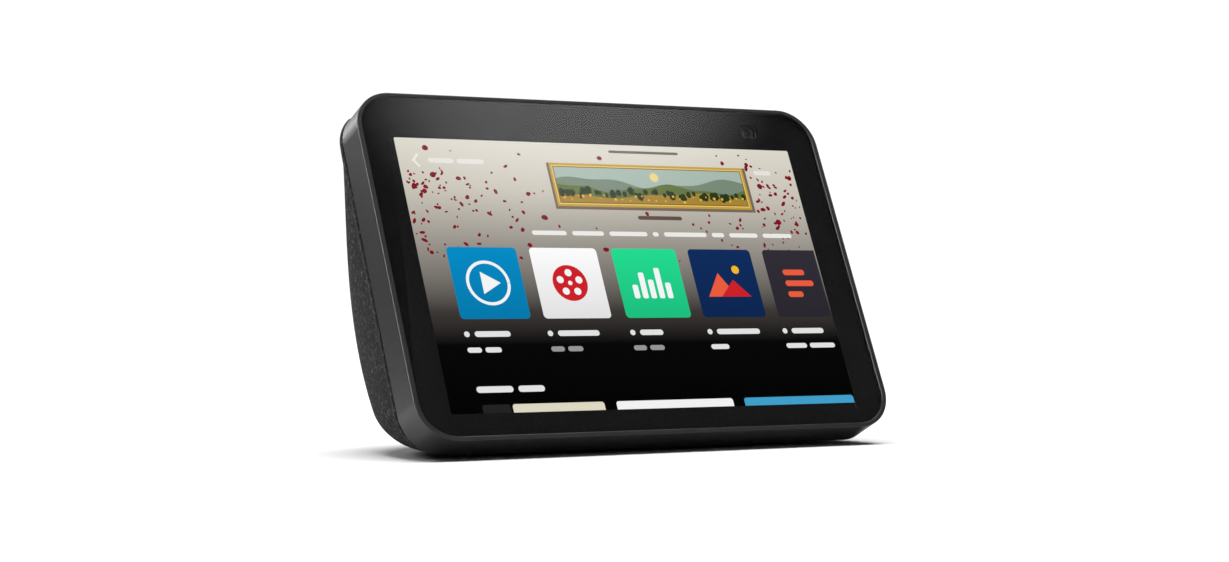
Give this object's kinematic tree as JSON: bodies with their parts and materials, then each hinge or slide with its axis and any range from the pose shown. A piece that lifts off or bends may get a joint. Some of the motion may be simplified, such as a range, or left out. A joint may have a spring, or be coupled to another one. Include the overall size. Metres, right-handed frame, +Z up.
{
  "type": "smart display",
  "caption": "Wedge-shaped table-top smart display: leaning glass touch screen in a plastic frame, knitted rear body, side-firing speakers, top buttons and a sliding camera shutter.",
  "frame": {"origin": "centre of the overall box in plan, at the surface that the rubber foot stands on", "axes": "+Z up, +X to the viewer's right when facing the screen, -Y out towards the viewer; the screen leans back 25 degrees"},
  "size_m": [0.2004, 0.0989, 0.1298],
  "materials": {
    "frame_plastic": "satin moulded",
    "cover_glass": "polished",
    "black_print": "smooth print",
    "adhesive": "foam",
    "film": "smooth",
    "lcd": "smooth",
    "light_guide": "clear acrylic, stored opaque",
    "sheet_metal": "stamped",
    "circuit_board": "solder mask",
    "chip": "moulded",
    "thermal_pad": "soft",
    "aluminium": "extruded",
    "lens_black": "coated",
    "shutter_white": "moulded",
    "button_plastic": "fine matt",
    "rubber": "matt",
    "inner_plastic": "moulded",
    "magnet": "plated",
    "cone": "coated",
    "housing_plastic": "moulded",
    "knit_fabric": "knit",
    "base_plastic": "fine matt",
    "screw_steel": "plated",
    "flex_film": "polyimide",
    "wire": "insulated"
  },
  "bodies": {
    "housing": {"front_frame": "frame_plastic", "cover_glass": "cover_glass", "border_print": "black_print", "glass_adhesive": "adhesive", "touch_sensor": "film", "lcd_panel": "lcd", "optical_films": "film", "light_guide": "light_guide", "led_strip": "circuit_board", "backlight_tray": "sheet_metal", "display_chassis": "sheet_metal", "main_board": "circuit_board", "processor": "chip", "thermal_pad": "thermal_pad", "heat_sink": "aluminium", "shield_cans": "sheet_metal", "camera_module": "lens_black", "camera_bracket": "sheet_metal", "light_sensor": "chip", "button_board": "circuit_board", "tact_switches": "sheet_metal", "microphones": "chip", "microphone_boots": "rubber", "wifi_antennas": "circuit_board", "speaker_enclosure": "inner_plastic", "enclosure_lid": "inner_plastic", "left_speaker_frame": "inner_plastic", "left_speaker_magnet": "magnet", "left_speaker_surround": "rubber", "right_speaker_frame": "inner_plastic", "right_speaker_magnet": "magnet", "right_speaker_surround": "rubber", "radiator_frame": "inner_plastic", "radiator_surround": "rubber", "rear_housing": "housing_plastic", "fabric_cover": "knit_fabric", "base_plate": "base_plastic", "rubber_foot": "rubber", "port_bezel": "base_plastic", "dc_jack": "inner_plastic", "jack_pin": "screw_steel", "power_board": "circuit_board", "display_cable": "flex_film", "speaker_wires": "wire", "power_wires": "wire", "chassis_screws": "screw_steel", "housing_screws": "screw_steel", "board_screws": "screw_steel", "lid_screws": "screw_steel", "base_screws": "screw_steel"},
    "shutter": {"shutter_blade": "shutter_white", "shutter_slider": "button_plastic"},
    "mic_key": {"mic_button": "button_plastic"},
    "volume_down_key": {"volume_down_button": "button_plastic"},
    "volume_up_key": {"volume_up_button": "button_plastic"},
    "left_cone": {"left_speaker_cone": "cone"},
    "right_cone": {"right_speaker_cone": "cone"},
    "radiator": {"radiator_diaphragm": "cone"}
  },
  "joints": [
    {"name": "shutter_slide", "type": "slide", "parent": "housing", "child": "shutter", "axis": [1, 0, 0], "range_m": [0, 0.0095]},
    {"name": "mic_button_press", "type": "slide", "parent": "housing", "child": "mic_key", "axis": [0, -0.4226, -0.9063], "range_m": [0, 0.0005], "stiffness_N_per_m": 800},
    {"name": "volume_down_press", "type": "slide", "parent": "housing", "child": "volume_down_key", "axis": [0, -0.4226, -0.9063], "range_m": [0, 0.0005], "stiffness_N_per_m": 800},
    {"name": "volume_up_press", "type": "slide", "parent": "housing", "child": "volume_up_key", "axis": [0, -0.4226, -0.9063], "range_m": [0, 0.0005], "stiffness_N_per_m": 800},
    {"name": "left_cone_stroke", "type": "slide", "parent": "housing", "child": "left_cone", "axis": [-1, 0, 0], "range_m": [-0.0015, 0.0015], "stiffness_N_per_m": 1500},
    {"name": "right_cone_stroke", "type": "slide", "parent": "housing", "child": "right_cone", "axis": [1, 0, 0], "range_m": [-0.0015, 0.0015], "stiffness_N_per_m": 1500},
    {"name": "radiator_stroke", "type": "slide", "parent": "housing", "child": "radiator", "axis": [0, 1, 0], "range_m": [-0.002, 0.002], "stiffness_N_per_m": 1200}
  ]
}
